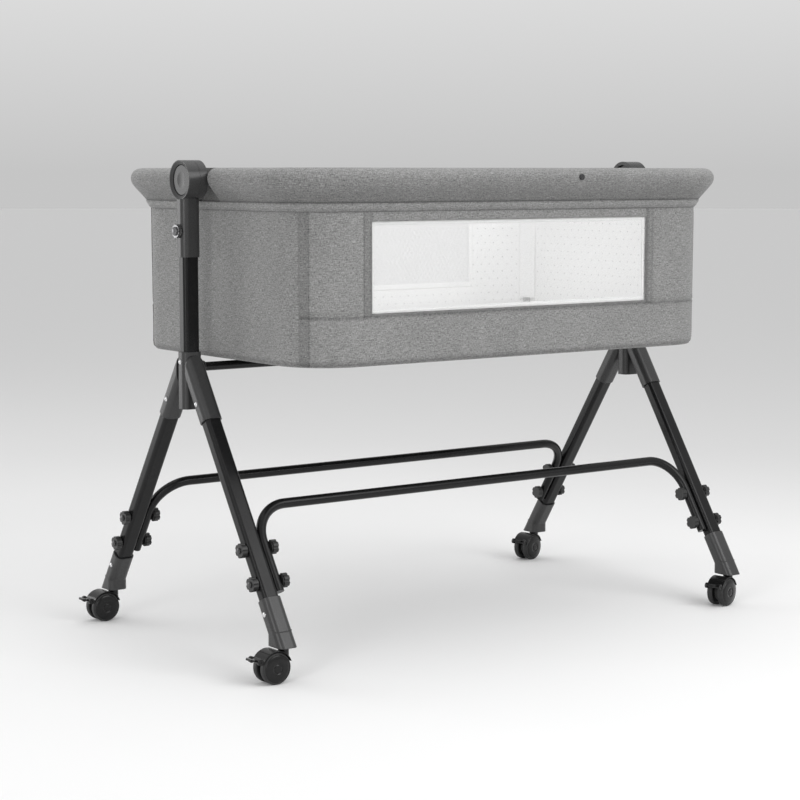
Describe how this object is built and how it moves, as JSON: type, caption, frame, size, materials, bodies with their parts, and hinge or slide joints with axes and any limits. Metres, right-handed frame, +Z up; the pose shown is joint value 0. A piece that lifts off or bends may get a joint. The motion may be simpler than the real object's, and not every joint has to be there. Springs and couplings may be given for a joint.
{
  "type": "bassinet on stand",
  "caption": "Rectangular fabric bassinet with mesh side windows and a padded rim, hung between end hubs on a folding A-frame stand with swivel castors.",
  "frame": {"origin": "on the floor under the middle of the whole outline, castors included", "axes": "+X along the basket towards the right end as seen from the front, +Y across the basket to the rear, +Z up; the front side faces -Y"},
  "size_m": [1.044, 0.6158, 0.7905],
  "materials": {
    "black_tube": "satin black powder coat on steel tube",
    "grey_plastic": "fine-grained moulded grey",
    "black_plastic": "semi-gloss moulded black",
    "bright_steel": "bright zinc plated",
    "dark_steel": "black zinc plated",
    "grey_linen": "heather grey linen weave",
    "white_lining": "white cotton with small grey dots",
    "white_mesh": "fine open mesh",
    "base_board": "covered stiff board"
  },
  "bodies": {
    "stand": {"post_left": "black_tube", "post_right": "black_tube", "apex_bracket_left": "grey_plastic", "apex_bracket_right": "grey_plastic", "stretcher_tube": "black_tube", "leg_pivot_pins": "bright_steel", "bracket_screws": "bright_steel"},
    "front_legs": {"leg_tube_front_left": "black_tube", "leg_tube_front_right": "black_tube", "leg_sleeve_front_left": "grey_plastic", "leg_sleeve_front_right": "grey_plastic", "foot_socket_front_left": "grey_plastic", "foot_socket_front_right": "grey_plastic", "cross_bar_front": "black_tube", "bar_bolts_front": "dark_steel", "bar_knobs_front": "black_plastic", "leg_screws_front": "bright_steel"},
    "rear_legs": {"leg_tube_rear_left": "black_tube", "leg_tube_rear_right": "black_tube", "leg_sleeve_rear_left": "grey_plastic", "leg_sleeve_rear_right": "grey_plastic", "foot_socket_rear_left": "grey_plastic", "foot_socket_rear_right": "grey_plastic", "cross_bar_rear": "black_tube", "bar_bolts_rear": "dark_steel", "bar_knobs_rear": "black_plastic", "leg_screws_rear": "bright_steel"},
    "castor_front_left": {"castor_hood_front_left": "black_plastic"},
    "wheels_front_left": {"castor_wheels_front_left": "black_plastic"},
    "brake_front_left": {"brake_lever_front_left": "black_plastic"},
    "castor_front_right": {"castor_hood_front_right": "black_plastic"},
    "wheels_front_right": {"castor_wheels_front_right": "black_plastic"},
    "brake_front_right": {"brake_lever_front_right": "black_plastic"},
    "castor_rear_left": {"castor_hood_rear_left": "black_plastic"},
    "wheels_rear_left": {"castor_wheels_rear_left": "black_plastic"},
    "brake_rear_left": {"brake_lever_rear_left": "black_plastic"},
    "castor_rear_right": {"castor_hood_rear_right": "black_plastic"},
    "wheels_rear_right": {"castor_wheels_rear_right": "black_plastic"},
    "brake_rear_right": {"brake_lever_rear_right": "black_plastic"},
    "carrier": {"hub_sleeve_left": "grey_plastic", "hub_sleeve_right": "grey_plastic", "hub_buttons": "grey_plastic"},
    "lock_left": {"lock_knob_left": "bright_steel"},
    "lock_right": {"lock_knob_right": "bright_steel"},
    "basket": {"hub_flange_left": "grey_plastic", "hub_flange_right": "grey_plastic", "rim_tube_front": "black_tube", "rim_tube_rear": "black_tube", "rim_roll_front": "grey_linen", "rim_roll_rear": "grey_linen", "side_panel_front": "grey_linen", "side_panel_rear": "grey_linen", "end_panel_left": "grey_linen", "end_panel_right": "grey_linen", "mesh_windows": "white_mesh", "inner_liner": "white_lining", "base_board": "base_board", "mattress": "white_lining", "snap_button": "dark_steel"}
  },
  "joints": [
    {"name": "front_legs_fold", "type": "hinge", "parent": "stand", "child": "front_legs", "pos_m": [0.01577, -0.028, 0.4353], "axis": [1, 0, 0], "range_deg": [0, 28]},
    {"name": "rear_legs_fold", "type": "hinge", "parent": "stand", "child": "rear_legs", "pos_m": [0.01577, 0.028, 0.4353], "axis": [-1, 0, 0], "range_deg": [0, 28]},
    {"name": "castor_swivel_front_left", "type": "hinge", "parent": "front_legs", "child": "castor_front_left", "pos_m": [-0.46023, -0.271, 0], "axis": [0, 0, 1], "continuous": true},
    {"name": "wheel_spin_front_left", "type": "hinge", "parent": "castor_front_left", "child": "wheels_front_left", "pos_m": [-0.48123, -0.271, 0.025], "axis": [0, 1, 0], "continuous": true},
    {"name": "brake_press_front_left", "type": "hinge", "parent": "castor_front_left", "child": "brake_front_left", "pos_m": [-0.50977, -0.271, 0.03831], "axis": [0, -1, 0], "range_deg": [0, 18]},
    {"name": "castor_swivel_front_right", "type": "hinge", "parent": "front_legs", "child": "castor_front_right", "pos_m": [0.49177, -0.271, 0], "axis": [0, 0, 1], "continuous": true},
    {"name": "wheel_spin_front_right", "type": "hinge", "parent": "castor_front_right", "child": "wheels_front_right", "pos_m": [0.4714, -0.27608, 0.025], "axis": [-0.2419, 0.9703, 0], "continuous": true},
    {"name": "brake_press_front_right", "type": "hinge", "parent": "castor_front_right", "child": "brake_front_right", "pos_m": [0.4437, -0.28299, 0.03831], "axis": [0.2419, -0.9703, 0], "range_deg": [0, 18]},
    {"name": "castor_swivel_rear_left", "type": "hinge", "parent": "rear_legs", "child": "castor_rear_left", "pos_m": [-0.46023, 0.271, 0], "axis": [0, 0, 1], "continuous": true},
    {"name": "wheel_spin_rear_left", "type": "hinge", "parent": "castor_rear_left", "child": "wheels_rear_left", "pos_m": [-0.48123, 0.271, 0.025], "axis": [0, 1, 0], "continuous": true},
    {"name": "brake_press_rear_left", "type": "hinge", "parent": "castor_rear_left", "child": "brake_rear_left", "pos_m": [-0.50977, 0.271, 0.03831], "axis": [0, -1, 0], "range_deg": [0, 18]},
    {"name": "castor_swivel_rear_right", "type": "hinge", "parent": "rear_legs", "child": "castor_rear_right", "pos_m": [0.49177, 0.271, 0], "axis": [0, 0, 1], "continuous": true},
    {"name": "wheel_spin_rear_right", "type": "hinge", "parent": "castor_rear_right", "child": "wheels_rear_right", "pos_m": [0.4714, 0.26592, 0.025], "axis": [-0.2419, 0.9703, 0], "continuous": true},
    {"name": "brake_press_rear_right", "type": "hinge", "parent": "castor_rear_right", "child": "brake_rear_right", "pos_m": [0.4437, 0.25901, 0.03831], "axis": [0.2419, -0.9703, 0], "range_deg": [0, 18]},
    {"name": "basket_height", "type": "slide", "parent": "stand", "child": "carrier", "axis": [0, 0, 1], "range_m": [0, 0.06]},
    {"name": "lock_turn_left", "type": "hinge", "parent": "carrier", "child": "lock_left", "pos_m": [-0.47723, 0, 0.678], "axis": [-1, 0, 0], "range_deg": [0, 270]},
    {"name": "lock_turn_right", "type": "hinge", "parent": "carrier", "child": "lock_right", "pos_m": [0.50877, 0, 0.678], "axis": [1, 0, 0], "range_deg": [0, 270]},
    {"name": "basket_rock", "type": "hinge", "parent": "carrier", "child": "basket", "pos_m": [0.01577, 0, 0.759], "axis": [1, 0, 0], "range_deg": [-8, 8]}
  ]
}
